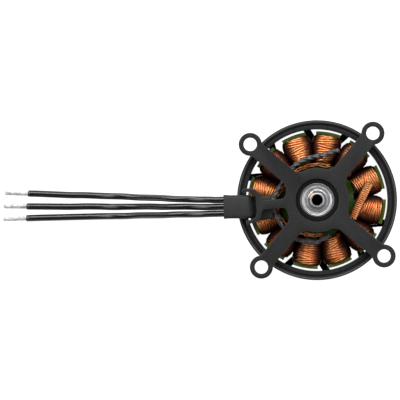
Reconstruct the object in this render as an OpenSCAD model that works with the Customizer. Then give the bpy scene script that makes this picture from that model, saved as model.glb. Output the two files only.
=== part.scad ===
// Brushless outrunner motor, pancake type, with a four-arm rear mount and three bare-ended leads.
// +Z points to the rear, where the mount and the leads are. The origin is on the shaft's axis,
// in the plane of the front hub's face, which the motor stands on. Dimensions are in millimetres.

/* [Rotor] */
// Outer diameter of the flux ring
ring_od = 32.5; // [32.3:0.1:33.5]
// Wall of the flux ring
ring_wall = 0.85; // [0.7:0.05:0.9]
// Rear face of the flux ring
ring_top = 11.2; // [10.8:0.1:11.4]
// Number of magnets
magnet_count = 14; // [8:2:14]
// Thickness of a magnet
magnet_t = 1; // [0.8:0.05:1.1]
// Angle left free between two magnets
magnet_gap = 0.3; // [0.2:0.1:2]
// Radius of the bell's hub
hub_r = 6; // [5.6:0.1:6.4]
// Height of the bell's hub
hub_h = 2.9; // [2.7:0.1:3]
// Width of a spoke of the bell
spoke_w = 1.4; // [1:0.1:1.8]
// Thickness of the spokes
spoke_t = 1.6; // [1.2:0.1:1.6]
// Circle of the propeller adapter's screws
prop_pcd = 9; // [8.6:0.1:9.4]
// Radius of a propeller adapter's tapped hole, M2
prop_hole_r = 0.8; // [0.7:0.05:0.9]

/* [Stator] */
// Number of teeth, each with its own coil
tooth_count = 12; // [6:3:12]
// Outer diameter of the laminations
stator_od = 28; // [27.8:0.1:28.2]
// Front and rear faces of the laminations
core_z = [5, 9.4]; // [4:0.1:10]
// Radius of the yoke
yoke_r = 7.5; // [7:0.1:7.7]
// Width of a tooth
tooth_w = 2.5; // [2:0.1:2.6]
// Radial thickness of a tooth's shoe
shoe_t = 0.65; // [0.5:0.05:0.7]
// Angle that a shoe spans
shoe_angle = 21; // [16:0.5:24]
// Thickness of an end insulator
insulator_t = 0.25; // [0.2:0.05:0.3]
// Depth of the winding over the front and the rear of a tooth
winding_h = 1.35; // [1:0.05:1.35]

/* [Mount] */
// Side of the square on which the mounting holes lie
hole_square = 25; // [25:0.1:26]
// Radius of a mounting hole, M2.5 clearance
mount_hole_r = 1.35; // [1.3:0.05:1.6]
// Outer radius of an eye
eye_r = 2.35; // [2.2:0.05:2.6]
// Width of an arm
arm_w = 3.25; // [2.6:0.05:3.6]
// Radius of the plate's central disc
disc_r = 6.5; // [6.3:0.05:6.7]
// Rear and front faces of the plate
plate_z = [13, 15]; // [12:0.1:16]
// Width of the cable clip's arm
clip_arm_w = 1.76; // [1.4:0.02:2]
// Inside of the cable clip, across the cable
clip_w = 5.7; // [5.6:0.02:6.2]

/* [Shaft and bearings] */
// Diameter of the shaft
shaft_d = 3; // [3:0.1:3]
// Diameter of the shaft's bore
shaft_bore_d = 2.2; // [1.6:0.1:2.3]
// Depth of that bore, from the shaft's rear end
shaft_bore_depth = 11; // [6:0.5:12]
// Rear end of the shaft
shaft_top = 15.6; // [15.4:0.1:16]
// Outer diameter of a bearing
bearing_od = 7; // [7:0.1:7]
// Width of a bearing
bearing_w = 3; // [2.8:0.1:3]
// Outer diameter of the bearing tube
tube_od = 8.8; // [8.4:0.1:9]
// Balls in a bearing
ball_count = 7; // [5:1:7]
// Diameter of a ball
ball_d = 1; // [0.9:0.02:1]

/* [Leads] */
// Outer diameter of a lead
lead_d = 1.36; // [1.2:0.02:1.36]
// Diameter of a tinned end
tip_d = 0.84; // [0.6:0.02:1]
// Length of a tinned end
tip_l = 4.8; // [3:0.1:6]
// Distance between two leads where they leave the sleeve
lead_pitch = 1.41; // [1.37:0.01:1.42]
// Width and thickness of the cable sleeve
sleeve_size = [4.76, 2]; // [1:0.1:5]
// Diameter of a sleeve on a phase tail
phase_sleeve_d = 1; // [0.8:0.05:1]

/* [Hidden] */
$fn = 96;
ROUND = 32;
FLAT_SIDES = 24;
EPS = 0.01;
FIT = 0.05;

coil_names = [for (i = [1 : tooth_count]) str("coil_", i < 10 ? "0" : "", i)];
magnet_names = [for (i = [1 : magnet_count]) str("magnet_", i < 10 ? "0" : "", i)];
phase_names = ["a", "b", "c"];
bearing_names = ["rear", "front"];
bearing_parts = ["outer_race", "inner_race", "balls", "cage", "shields"];

// Colours
BLACK_METAL = [0.16, 0.16, 0.17];
DARK_STEEL = [0.24, 0.24, 0.25];
LAMINATION = [0.45, 0.46, 0.46];
GREEN = [0.2, 0.36, 0.14];
COPPER = [0.76, 0.36, 0.14];
SHRINK = [0.2, 0.2, 0.2];
SILICONE = [0.06, 0.06, 0.06];
TINNED = [0.82, 0.82, 0.83];
STEEL = [0.74, 0.75, 0.77];
BRASS = [0.75, 0.62, 0.35];
MAGNET = [0.3, 0.3, 0.31];

// Rotor
ring_r = ring_od / 2;
magnet_outer_r = ring_r - ring_wall;
magnet_inner_r = magnet_outer_r - magnet_t;
spoke_z = 0.6;
ring_z = spoke_z + spoke_t;
magnet_z = [2.9, ring_top - 0.3];
ring_edge = 0.15;
hub_face_r = hub_r - 0.3;
prop_hole_depth = 2.4;
// The four forked spokes stand in two pairs, one each side of this axis and its opposite.
pair_axis = 108.4;
pair_half = 31.7;
spoke_angles = [for (k = [0, 180]) for (s = [-1, 1]) pair_axis + k + s * pair_half];
fork_r = 9.1;
fork_angle = 17.5;

// Stator
stator_r = stator_od / 2;
tooth_pitch = 360 / tooth_count;
tooth_angles = [for (i = [0 : tooth_count - 1]) tooth_pitch * (i + 0.5)];
shoe_r = stator_r - shoe_t;
coil_r = [7.7, 13.26];
coil_half_w = 2.95;
coil_half_widths = [[0, 1.98], [1.7, 2.44], [3.3, 2.87], [4.3, coil_half_w], [5.3, 2.6],
                    [coil_r[1] - coil_r[0], 1.25]];
coil_corner_r = 1.5;
coil_end_r = 0.9;
coil_z = [core_z[0] - insulator_t - winding_h, core_z[1] + insulator_t + winding_h];

// Mount
hole_angles = [45 : 90 : 315];
hole_circle_r = hole_square / sqrt(2);
plate_t = plate_z[1] - plate_z[0];
disc_fillet = 2.2;
eye_fillet = 1.6;
clip_fillet = 1;
clip_back_x = -12.38;
clip_tip_x = -14.7;
clip_wall = 0.72;
clip_bulbs = [[-14.65, 3.22], [-14.3, -3.38]];
clip_bulb_r = 0.42;
clip_y = 0.09;
clip_corner_r = 1.5;
clip_back_t = 0.86;

// Shaft and bearings
shaft_r = shaft_d / 2;
tube_r = tube_od / 2;
bearing_r = bearing_od / 2;
tube_z = [3.3, 14.5];
bearing_z = [11.4, 3.4];
tube_shoulder_r = 3.1;
inner_race_r = 2.05;
outer_race_r = 2.95;
ball_r = ball_d / 2;
ball_circle_r = (inner_race_r + outer_race_r) / 2;
groove_r = ball_r + 0.03;
cage_w = 0.4;
cage_h = 1.5;
shield_t = 0.12;
shield_inset = 0.08;
clip_ring_z = [14.6, 15];
clip_ring_r = [1.36, 2.15];
clip_ring_gap = 48;
clip_ring_angle = 133;
shim_t = 0.15;
shim_r = 1.95;

// Cable sleeve, from its mouth through the clip, down, and in under the clip's arm.
sleeve_route = [[-19, 0.36, 13.6], [-17.8, 0.25, 13.6], [-13.95, -0.05, 13.6], [-12.65, -0.05, 12.05],
                [-11.9, -0.5, 12.05], [-9.5, -0.52, 12.05], [-9.3, -0.52, 12.05]];
sleeve_flare = [0.2, 0.1];
sleeve_neck = [4, 1.6];
sleeve_inner = [4.95, 1.5];
sleeve_end = [4.7, 1.25];
sleeve_sections = [sleeve_size + sleeve_flare, sleeve_size, sleeve_size, sleeve_neck,
                   sleeve_inner, sleeve_inner, sleeve_end];
sleeve_turn = -5.2;
lead_in = 3.1;
solder_l = 1.25;
solder_r = 0.45;
cavity = [2 * lead_pitch + lead_d + 0.12, lead_d + 0.14, lead_in + solder_l + 0.02];

// Routes of the leads, along the middle of each, from its solder joint to the end of its insulation.
lead_routes = [
    [[-15.8, 1.5, 13.6], [-17.5, 1.6, 13.6], [-19, 1.8, 13.6], [-20.5, 1.9, 13.6], [-22, 2.1, 13.5],
     [-24, 2.3, 13.1], [-26.5, 2.6, 12.1], [-29, 2.9, 10.5], [-31.5, 3.3, 8.5], [-34, 3.6, 6.3],
     [-36.5, 3.9, 4.2], [-39, 4.3, 2.5], [-41.5, 4.6, 1.4], [-44, 4.9, 0.9], [-47, 5.3, 0.7],
     [-50, 5.6, 0.7], [-53, 6, 0.7], [-56, 6.4, 0.7], [-58.5, 6.7, 0.7]],
    [[-15.92, 0.1, 13.6], [-17.5, 0.2, 13.6], [-19, 0.4, 13.6], [-20.5, 0.5, 13.6], [-22, 0.6, 13.5],
     [-24, 0.8, 13], [-26.5, 1.1, 11.9], [-29, 1.3, 10.2], [-31.5, 1.5, 8.2], [-34, 1.8, 6],
     [-36.5, 2, 3.9], [-39, 2.2, 2.3], [-41.5, 2.4, 1.3], [-44, 2.7, 0.8], [-47, 3, 0.7],
     [-50, 3.2, 0.7], [-53, 3.5, 0.7], [-56, 3.8, 0.7], [-59, 4.1, 0.7]],
    [[-16.05, -1.3, 13.6], [-17.5, -1.2, 13.6], [-19, -1, 13.6], [-20.5, -0.9, 13.6], [-22, -0.8, 13.5],
     [-24, -0.7, 13.2], [-26.5, -0.5, 12.3], [-29, -0.3, 10.8], [-31.5, -0.2, 8.9], [-34, 0, 6.8],
     [-36.5, 0.2, 4.7], [-39, 0.3, 2.9], [-41.5, 0.5, 1.6], [-44, 0.7, 1], [-47, 0.9, 0.7],
     [-50, 1.1, 0.7], [-53, 1.3, 0.7], [-56, 1.5, 0.7], [-59.3, 1.7, 0.7]]
];

// Routes of the sleeved phase tails, from the cable sleeve to their coils.
phase_sleeve_routes = [
    [[-9.25, 1.2, 12.05], [-8.8, 1.2, 12.05], [-8.2, 2.1, 12.1], [-6.6, 4.3, 12.15], [-4.4, 7, 12.15],
     [-2.2, 8.2, 12.1], [0, 8.8, 12.1], [2.3, 9, 12.1], [4.1, 9.5, 12], [5.4, 9.6, 11.8]],
    [[-9.25, -1.4, 12.05], [-8.8, -1.4, 12.05], [-8.4, -2.7, 12.1], [-7.1, -5.1, 12.15],
     [-4.6, -7.6, 12.15], [-2.7, -8.1, 12.1], [-1, -8.5, 12.1], [0.4, -8, 12.1], [1.9, -7.3, 12]],
    [[-9.25, -0.1, 12.05], [-8.8, -0.1, 12.05], [-8, 0.1, 11.8], [-7.3, 0.4, 11.3], [-6.8, 0.7, 10.7]]
];

// Routes of the bare jumpers between the coils of a phase, with each one's half width and thickness.
jumper_routes = [
    [[10.9, 2.4, 11.3], [9.5, 0.2, 11.3], [8.1, -2.1, 11.3], [6.8, -4.3, 11.3]],
    [[-8.5, 1.3, 11.3], [-7.2, 2.3, 11.2], [-5.9, 3.4, 10.8], [-4.9, 5.1, 10.4], [-3.3, 6.4, 10.2],
     [-1.2, 7, 10.1], [1.1, 7.2, 10.1], [3.2, 6.6, 10.2]],
    [[-8.4, -2.2, 11.25], [-6.6, -4.5, 11.2], [-5.2, -5.5, 10.9], [-3.6, -6.3, 10.4], [-1.5, -7, 10.1],
     [0.6, -7.2, 10.1]]
];
jumper_halves = [[0.85, 0.22], [0.45, 0.22], [0.5, 0.22]];

// Unit vector along v.
function unit(v) = v / norm(v);

// Direction of a route at its point i.
function heading(route, i) = unit(route[min(i + 1, len(route) - 1)] - route[max(i - 1, 0)]);

// Corners of the section of a route at its point i, an ellipse with half axes a across and b up.
function section(route, i, a, b, sides) =
    let (ahead = heading(route, i), side = unit(cross([0, 0, 1], ahead)), up = cross(ahead, side))
    [for (k = [0 : sides - 1])
        let (turn = 360 * (k + 0.5) / sides)
        route[i] + a * cos(turn) * side + b * sin(turn) * up];

// Corners of a flat rounded section of size [across, up] at a route's point i. It stands upright.
function flat_section(route, i, size) =
    let (ahead = heading(route, i), side = unit(cross([0, 0, 1], ahead)), r = 0.4 * size[1])
    [for (k = [0 : FLAT_SIDES - 1])
        let (turn = 360 * (k + 0.5) / FLAT_SIDES,
             across = sign(cos(turn)) * (size[0] / 2 - r) + r * cos(turn),
             up = sign(sin(turn)) * (size[1] / 2 - r) + r * sin(turn))
        route[i] + across * side + [0, 0, up]];

// Solid through a row of rings with the same number of corners.
module loft(rings) {
    last = len(rings) - 1;
    sides = len(rings[0]);
    polyhedron(
        points = [for (corners = rings) each corners],
        faces = concat(
            [[for (k = [0 : sides - 1]) k]],
            [for (i = [0 : last - 1]) for (k = [0 : sides - 1])
                [sides * i + k, sides * (i + 1) + k, sides * (i + 1) + (k + 1) % sides,
                 sides * i + (k + 1) % sides]],
            [[for (k = [sides - 1 : -1 : 0]) sides * last + k]]
        )
    );
}

// Solid swept along a route, with an elliptical section.
module sweep(route, a, b, sides = 8) {
    loft([for (i = [0 : len(route) - 1]) section(route, i, a, b, sides)]);
}

// Ring about Z between two radii and two heights.
module ring(r_in, r_out, z) {
    translate([0, 0, z[0]])
        difference() {
            cylinder(r = r_out, h = z[1] - z[0]);
            translate([0, 0, -1])
                cylinder(r = r_in, h = z[1] - z[0] + 2);
        }
}

// Flat bar from p to q with round ends.
module bar(p, q, w) {
    run = q - p;
    translate(p) {
        circle(d = w, $fn = ROUND);
        rotate(atan2(run[1], run[0])) {
            translate([0, -w / 2])
                square([norm(run), w]);
            translate([norm(run), 0])
                circle(d = w, $fn = ROUND);
        }
    }
}

// Rectangle with rounded corners, given its lowest corner and its size.
module rounded_rectangle(corner, size, r) {
    translate(corner) {
        translate([r, 0])
            square([size[0] - 2 * r, size[1]]);
        translate([0, r])
            square([size[0], size[1] - 2 * r]);
        for (x = [r, size[0] - r], y = [r, size[1] - r])
            translate([x, y])
                circle(r = r, $fn = ROUND);
    }
}

// Web that fills the corner between a disc at the origin and an arm along +X, on the arm's +Y side.
// The arm's edge is at y = half, and the web's free side is an arc of radius r. The arc is cut a hair
// deeper than tangent, so that it crosses the two edges that it blends.
module corner_web(disc, half, r) {
    turn = asin((half + r) / (disc + r));
    reach = (disc + r) * cos(turn);
    difference() {
        polygon([[0, 0], [reach, 0], [reach, half], [reach, half + r],
                 [disc * cos(turn), disc * sin(turn)]]);
        translate([reach, half + r])
            circle(r = r + EPS);
    }
}

// Both webs of an arm.
module corner_webs(disc, half, r) {
    corner_web(disc, half, r);
    mirror([0, 1])
        corner_web(disc, half, r);
}

// Outline of one arm with its eye, along +X.
module arm_outline() {
    translate([0, -arm_w / 2])
        square([hole_circle_r, arm_w]);
    translate([hole_circle_r, 0]) {
        circle(r = eye_r);
        rotate(180)
            corner_webs(eye_r, arm_w / 2, eye_fillet);
    }
    corner_webs(disc_r, arm_w / 2, disc_fillet);
}

// Outline of the cable clip, whose open side faces -X.
module clip_outline() {
    back_x = clip_back_x + clip_back_t;
    outer_w = clip_w + 2 * clip_wall;
    translate([back_x - 0.4, -clip_arm_w / 2])
        square([-back_x, clip_arm_w]);
    rotate(180)
        corner_webs(disc_r, clip_arm_w / 2, clip_fillet);
    for (s = [-1, 1])
        translate([back_x, 0])
            mirror([0, s < 0 ? 1 : 0])
                difference() {
                    translate([-0.6, 0])
                        square([0.6 + clip_fillet, clip_arm_w / 2 + clip_fillet]);
                    translate([clip_fillet, clip_arm_w / 2 + clip_fillet])
                        circle(r = clip_fillet + EPS);
                }
    difference() {
        rounded_rectangle([clip_tip_x - 4, clip_y - outer_w / 2], [back_x - clip_tip_x + 4, outer_w],
                          clip_corner_r + 0.5);
        rounded_rectangle([clip_tip_x - 5, clip_y - clip_w / 2],
                          [clip_back_x - clip_tip_x + 5, clip_w], clip_corner_r);
        translate([clip_tip_x - 5, -outer_w])
            square([5, 2 * outer_w]);
    }
    for (bulb = clip_bulbs)
        translate(bulb)
            circle(r = clip_bulb_r, $fn = ROUND);
}

module mount_plate() {
    color(BLACK_METAL)
        difference() {
            translate([0, 0, plate_z[0]])
                linear_extrude(plate_t) {
                    circle(r = disc_r);
                    for (a = hole_angles)
                        rotate(a)
                            arm_outline();
                    clip_outline();
                }
            translate([0, 0, plate_z[0] - 1])
                cylinder(r = tube_r, h = plate_t + 2);
            for (a = hole_angles)
                rotate(a)
                    translate([hole_circle_r, 0, plate_z[0] - 1])
                        cylinder(r = mount_hole_r, h = plate_t + 2);
        }
}

module bearing_tube() {
    color(BLACK_METAL)
        difference() {
            translate([0, 0, tube_z[0]])
                cylinder(r = tube_r, h = tube_z[1] - tube_z[0]);
            translate([0, 0, tube_z[0] - 1])
                cylinder(r = tube_shoulder_r, h = tube_z[1] - tube_z[0] + 2);
            translate([0, 0, bearing_z[0]])
                cylinder(r = bearing_r, h = bearing_w + 2);
            translate([0, 0, bearing_z[1] - 2])
                cylinder(r = bearing_r, h = bearing_w + 2);
        }
}

// Outline shared by the laminations and the end insulators.
module core_outline() {
    difference() {
        union() {
            circle(r = yoke_r);
            for (a = tooth_angles)
                rotate(a) {
                    translate([tube_r + 1, -tooth_w / 2])
                        square([shoe_r + shoe_t / 2 - tube_r - 1, tooth_w]);
                    intersection() {
                        difference() {
                            circle(r = stator_r);
                            circle(r = shoe_r);
                        }
                        polygon([[0, 0],
                                 2 * stator_r * [cos(shoe_angle / 2), -sin(shoe_angle / 2)],
                                 2 * stator_r * [cos(shoe_angle / 2), sin(shoe_angle / 2)]]);
                    }
                }
        }
        circle(r = tube_r);
    }
}

module stator_core() {
    color(LAMINATION)
        translate([0, 0, core_z[0]])
            linear_extrude(core_z[1] - core_z[0])
                core_outline();
}

module end_insulator(z) {
    color(GREEN)
        translate([0, 0, z])
            linear_extrude(insulator_t)
                core_outline();
}

// One coil round the tooth that lies along +X.
module coil() {
    mid_z = (coil_z[0] + coil_z[1]) / 2;
    length = coil_r[1] - coil_r[0];
    height = coil_z[1] - coil_z[0];
    hole_h = core_z[1] - core_z[0] + 2 * (insulator_t + FIT);
    color(COPPER)
        difference() {
            intersection() {
                translate([coil_r[0], 0, coil_z[0]])
                    linear_extrude(height)
                        polygon(concat(coil_half_widths,
                            [for (i = [len(coil_half_widths) - 1 : -1 : 0])
                                [coil_half_widths[i][0], -coil_half_widths[i][1]]]));
                translate([coil_r[0], 0, mid_z])
                    rotate([90, 0, 90])
                        linear_extrude(length)
                            rounded_rectangle([-coil_half_w, -height / 2],
                                              [2 * coil_half_w, height], coil_corner_r);
                translate([0, coil_half_w + 1, mid_z])
                    rotate([90, 0, 0])
                        linear_extrude(2 * coil_half_w + 2)
                            rounded_rectangle([coil_r[0], -height / 2], [length, height], coil_end_r);
            }
            translate([coil_r[0] - 1, -tooth_w / 2 - FIT, mid_z - hole_h / 2])
                cube([length + 2, tooth_w + 2 * FIT, hole_h]);
        }
}

module phase_jumper(i) {
    color(COPPER)
        sweep(jumper_routes[i], jumper_halves[i][0], jumper_halves[i][1]);
}

module phase_sleeve(i) {
    color(SHRINK)
        sweep(phase_sleeve_routes[i], phase_sleeve_d / 2, phase_sleeve_d / 2);
}

// Puts its children in the cable sleeve's own frame: origin at the middle of the mouth, +Z inwards.
module at_mouth() {
    translate(sleeve_route[0])
        rotate([0, 0, sleeve_turn])
            rotate([90, 0, 90])
                children();
}

module cable_sleeve() {
    color(SHRINK)
        difference() {
            loft([for (i = [0 : len(sleeve_route) - 1]) flat_section(sleeve_route, i, sleeve_sections[i])]);
            at_mouth()
                translate([0, 0, -1])
                    linear_extrude(cavity[2] + 1)
                        rounded_rectangle([-cavity[0] / 2, -cavity[1] / 2], [cavity[0], cavity[1]],
                                          0.4 * cavity[1]);
        }
}

module solder_joints() {
    color(TINNED)
        for (i = [-1 : 1])
            at_mouth()
                translate([i * lead_pitch, 0, lead_in + 0.02])
                    cylinder(r = solder_r, h = solder_l - 0.02, $fn = ROUND);
}

module lead(i) {
    color(SILICONE)
        sweep(lead_routes[i], lead_d / 2, lead_d / 2);
}

module lead_tip(i) {
    last = len(lead_routes[i]) - 1;
    ahead = heading(lead_routes[i], last);
    color(TINNED)
        translate(lead_routes[i][last])
            rotate([0, 90, atan2(ahead[1], ahead[0])])
                cylinder(d = tip_d, h = tip_l, $fn = ROUND);
}

module shaft() {
    color(STEEL)
        difference() {
            cylinder(r = shaft_r, h = shaft_top);
            translate([0, 0, shaft_top - shaft_bore_depth])
                cylinder(d = shaft_bore_d, h = shaft_bore_depth + 1);
            ring(clip_ring_r[0] - EPS, shaft_r + 1, [clip_ring_z[0] - 0.02, clip_ring_z[1] + 0.02]);
        }
}

module retaining_clip() {
    color(DARK_STEEL)
        translate([0, 0, clip_ring_z[0]])
            rotate(clip_ring_angle + clip_ring_gap / 2)
                rotate_extrude(angle = 360 - clip_ring_gap)
                    translate([clip_ring_r[0], 0])
                        square([clip_ring_r[1] - clip_ring_r[0], clip_ring_z[1] - clip_ring_z[0]]);
}

module shim_washer() {
    z = bearing_z[0] + bearing_w;
    color(BRASS)
        ring(shaft_r, shim_r, [z, z + shim_t]);
}

// Outline of one forked spoke, along +X.
module spoke_outline() {
    rim = (magnet_inner_r + ring_r) / 2;
    bar([hub_r - 1, 0], [fork_r, 0], spoke_w);
    for (s = [-1, 1])
        bar([fork_r, 0], rim * [cos(fork_angle), s * sin(fork_angle)], spoke_w);
}

module bell() {
    color(BLACK_METAL)
        difference() {
            union() {
                cylinder(r1 = hub_face_r, r2 = hub_r, h = hub_r - hub_face_r);
                translate([0, 0, hub_r - hub_face_r])
                    cylinder(r = hub_r, h = hub_h - hub_r + hub_face_r);
                cylinder(r = inner_race_r - FIT, h = bearing_z[1]);
                translate([0, 0, spoke_z])
                    linear_extrude(spoke_t) {
                        difference() {
                            circle(r = ring_r);
                            circle(r = magnet_inner_r);
                        }
                        for (a = spoke_angles)
                            rotate(a)
                                spoke_outline();
                    }
            }
            translate([0, 0, -1])
                cylinder(r = shaft_r, h = hub_h + 3);
            for (a = [45 : 90 : 315])
                rotate(a)
                    translate([prop_pcd / 2, 0, -1])
                        cylinder(r = prop_hole_r, h = prop_hole_depth + 1);
        }
}

module flux_ring() {
    color(DARK_STEEL)
        rotate_extrude()
            polygon([[magnet_outer_r, ring_z], [ring_r, ring_z], [ring_r, ring_top - ring_edge],
                     [ring_r - ring_edge, ring_top], [magnet_outer_r, ring_top]]);
}

module magnet(i) {
    span = 360 / magnet_count;
    color(MAGNET)
        translate([0, 0, magnet_z[0]])
            rotate(span * i + magnet_gap / 2)
                rotate_extrude(angle = span - magnet_gap)
                    translate([magnet_inner_r, 0])
                        square([magnet_t, magnet_z[1] - magnet_z[0]]);
}

// Ball groove, as a ring to cut away from a race centred on z = 0.
module groove() {
    rotate_extrude()
        translate([ball_circle_r, 0])
            circle(r = groove_r, $fn = ROUND);
}

module outer_race() {
    color(STEEL)
        difference() {
            ring(outer_race_r, bearing_r, [-bearing_w / 2, bearing_w / 2]);
            groove();
        }
}

module inner_race() {
    color(STEEL)
        difference() {
            ring(shaft_r, inner_race_r, [-bearing_w / 2, bearing_w / 2]);
            groove();
        }
}

module balls() {
    color(STEEL)
        for (i = [0 : ball_count - 1])
            rotate(360 * i / ball_count)
                translate([ball_circle_r, 0, 0])
                    sphere(r = ball_r - EPS, $fn = ROUND);
}

module cage() {
    color(BRASS)
        difference() {
            ring(ball_circle_r - cage_w / 2, ball_circle_r + cage_w / 2, [-cage_h / 2, cage_h / 2]);
            for (i = [0 : ball_count - 1])
                rotate(360 * i / ball_count)
                    translate([ball_circle_r, 0, 0])
                        rotate([0, 90, 0])
                            cylinder(r = ball_r + EPS, h = 2 * cage_w, center = true, $fn = ROUND);
        }
}

module shields() {
    z = bearing_w / 2 - shield_inset;
    color(STEEL)
        for (s = [0, 1])
            mirror([0, 0, s])
                ring(inner_race_r + FIT, outer_race_r, [z - shield_t, z]);
}

// One named piece of a bearing, centred on z = 0.
module bearing_piece(piece) {
    if (piece == "outer_race")
        outer_race();
    if (piece == "inner_race")
        inner_race();
    if (piece == "balls")
        balls();
    if (piece == "cage")
        cage();
    if (piece == "shields")
        shields();
}

mount_plate();
bearing_tube();
stator_core();
end_insulator(core_z[1]);  // rear_insulator
end_insulator(core_z[0] - insulator_t);  // front_insulator
for (i = [0 : tooth_count - 1])
    rotate(tooth_angles[i]) coil();
for (i = [0 : 2]) {
    phase_jumper(i);
    phase_sleeve(i);
    lead(i);
    lead_tip(i);
}
solder_joints();
cable_sleeve();
shaft();
retaining_clip();
shim_washer();
bell();
flux_ring();
for (i = [0 : magnet_count - 1])
    magnet(i);
for (i = [0 : 1], piece = bearing_parts)
    translate([0, 0, bearing_z[i] + bearing_w / 2]) bearing_piece(piece);
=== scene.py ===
"""Brushless outrunner motor: its looks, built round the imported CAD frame.

Geometry is drawn in millimetres, as the CAD source is, and MM turns it into metres.
"""

import math
import random

import bmesh
import bpy
import numpy as np
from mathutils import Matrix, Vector


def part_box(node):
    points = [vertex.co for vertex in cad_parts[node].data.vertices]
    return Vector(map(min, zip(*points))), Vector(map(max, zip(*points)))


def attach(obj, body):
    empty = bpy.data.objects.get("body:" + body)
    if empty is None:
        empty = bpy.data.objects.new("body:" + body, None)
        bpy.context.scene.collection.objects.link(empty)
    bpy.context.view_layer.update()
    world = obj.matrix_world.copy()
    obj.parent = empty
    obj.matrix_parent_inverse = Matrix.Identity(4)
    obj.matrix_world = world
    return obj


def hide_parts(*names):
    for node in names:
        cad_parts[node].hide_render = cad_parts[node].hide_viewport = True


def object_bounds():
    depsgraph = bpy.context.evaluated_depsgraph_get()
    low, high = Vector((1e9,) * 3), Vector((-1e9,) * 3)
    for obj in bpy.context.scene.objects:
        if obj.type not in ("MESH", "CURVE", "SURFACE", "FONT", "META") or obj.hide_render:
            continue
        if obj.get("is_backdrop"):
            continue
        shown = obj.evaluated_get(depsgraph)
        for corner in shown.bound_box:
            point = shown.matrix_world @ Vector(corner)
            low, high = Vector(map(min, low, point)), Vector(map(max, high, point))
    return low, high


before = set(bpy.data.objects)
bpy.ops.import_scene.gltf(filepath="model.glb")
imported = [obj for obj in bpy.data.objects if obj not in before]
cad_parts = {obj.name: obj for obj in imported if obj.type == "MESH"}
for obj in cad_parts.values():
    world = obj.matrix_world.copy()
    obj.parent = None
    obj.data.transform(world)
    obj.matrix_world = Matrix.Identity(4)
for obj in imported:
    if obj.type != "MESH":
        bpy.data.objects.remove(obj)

CAD_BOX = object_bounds()
MM = 0.001
Z_AXIS = np.array([0.0, 0.0, 1.0])

# Edges that bend less than FLAT_ANGLE are dissolved, those above EDGE_ANGLE are bevelled, and those above
# SMOOTH_ANGLE are shaded sharp. All are in degrees. The weld distances are in metres.
FLAT_ANGLE, EDGE_ANGLE, SMOOTH_ANGLE = 0.8, 35, 50
WELD, CAD_WELD = 1e-7, 1e-6


def cad_box(node):
    """Lowest and highest corner of a CAD node, in millimetres."""
    return [[round(c / MM, 3) for c in corner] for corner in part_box(node)]


def cad_heights(node):
    """Heights of the lowest and the highest face of a CAD node."""
    low, high = cad_box(node)
    return low[2], high[2]


def cad_radius(node):
    """Outer radius of a round CAD node on the shaft's axis."""
    low, high = cad_box(node)
    return max(-low[0], -low[1], high[0], high[1])


# Sizes taken from the frame.
RING_R, RING_Z = cad_radius("flux_ring"), cad_heights("flux_ring")
TUBE_R, TUBE_Z = cad_radius("bearing_tube"), cad_heights("bearing_tube")
SHAFT_R, SHAFT_TOP = cad_radius("shaft"), cad_heights("shaft")[1]
BEARING_R = cad_radius("rear_bearing_outer_race")
INNER_RACE_R = cad_radius("rear_bearing_inner_race")
OUTER_RACE_R = cad_radius("rear_bearing_shields")
COIL_Z = cad_heights("coil_01")
COIL_MID_Z = sum(COIL_Z) / 2
COIL_HALF_H = (COIL_Z[1] - COIL_Z[0]) / 2

# Sizes shared with the CAD source, in millimetres. A pair of radii or heights goes from low to high.
TOOTH_ANGLES = [15 + 30 * k for k in range(12)]
COIL_R = (7.7, 13.26)
MAGNET_R = (14.4, 15.4)
MAGNET_COUNT = 14
BORE_R, BORE_END = 1.1, 4.8
RETAINER_R = (1.36, 2.15)
RETAINER_GAP, RETAINER_ANGLE = 48, 133
LEAD_D = 1.36
TIP_LENGTH = 4.8

# Half the width of a coil, at radii along its tooth.
COIL_WIDTH_AT = (7.7, 9.4, 11.0, 12.0, 12.75, 13.0, 13.26)
COIL_HALF_WIDTHS = (1.98, 2.44, 2.87, 2.95, 2.92, 2.72, 1.8)

# Routes of the leads, the sleeve, the phase tails and the jumpers. They follow those in the CAD source.
LEAD_ROUTES = {
    "a": [(-15.8, 1.5, 13.6), (-17.5, 1.6, 13.6), (-19, 1.8, 13.6), (-20.5, 1.9, 13.6), (-22, 2.1, 13.5),
          (-24, 2.3, 13.1), (-26.5, 2.6, 12.1), (-29, 2.9, 10.5), (-31.5, 3.3, 8.5), (-34, 3.6, 6.3),
          (-36.5, 3.9, 4.2), (-39, 4.3, 2.5), (-41.5, 4.6, 1.4), (-44, 4.9, 0.9), (-47, 5.3, 0.7),
          (-50, 5.6, 0.7), (-53, 6, 0.7), (-56, 6.4, 0.7), (-58.5, 6.7, 0.7)],
    "b": [(-15.92, 0.1, 13.6), (-17.5, 0.2, 13.6), (-19, 0.4, 13.6), (-20.5, 0.5, 13.6), (-22, 0.6, 13.5),
          (-24, 0.8, 13), (-26.5, 1.1, 11.9), (-29, 1.3, 10.2), (-31.5, 1.5, 8.2), (-34, 1.8, 6),
          (-36.5, 2, 3.9), (-39, 2.2, 2.3), (-41.5, 2.4, 1.3), (-44, 2.7, 0.8), (-47, 3, 0.7),
          (-50, 3.2, 0.7), (-53, 3.5, 0.7), (-56, 3.8, 0.7), (-59, 4.1, 0.7)],
    "c": [(-16.05, -1.3, 13.6), (-17.5, -1.2, 13.6), (-19, -1, 13.6), (-20.5, -0.9, 13.6), (-22, -0.8, 13.5),
          (-24, -0.7, 13.2), (-26.5, -0.5, 12.3), (-29, -0.3, 10.8), (-31.5, -0.2, 8.9), (-34, 0, 6.8),
          (-36.5, 0.2, 4.7), (-39, 0.3, 2.9), (-41.5, 0.5, 1.6), (-44, 0.7, 1), (-47, 0.9, 0.7),
          (-50, 1.1, 0.7), (-53, 1.3, 0.7), (-56, 1.5, 0.7), (-59.3, 1.7, 0.7)],
}

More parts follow.
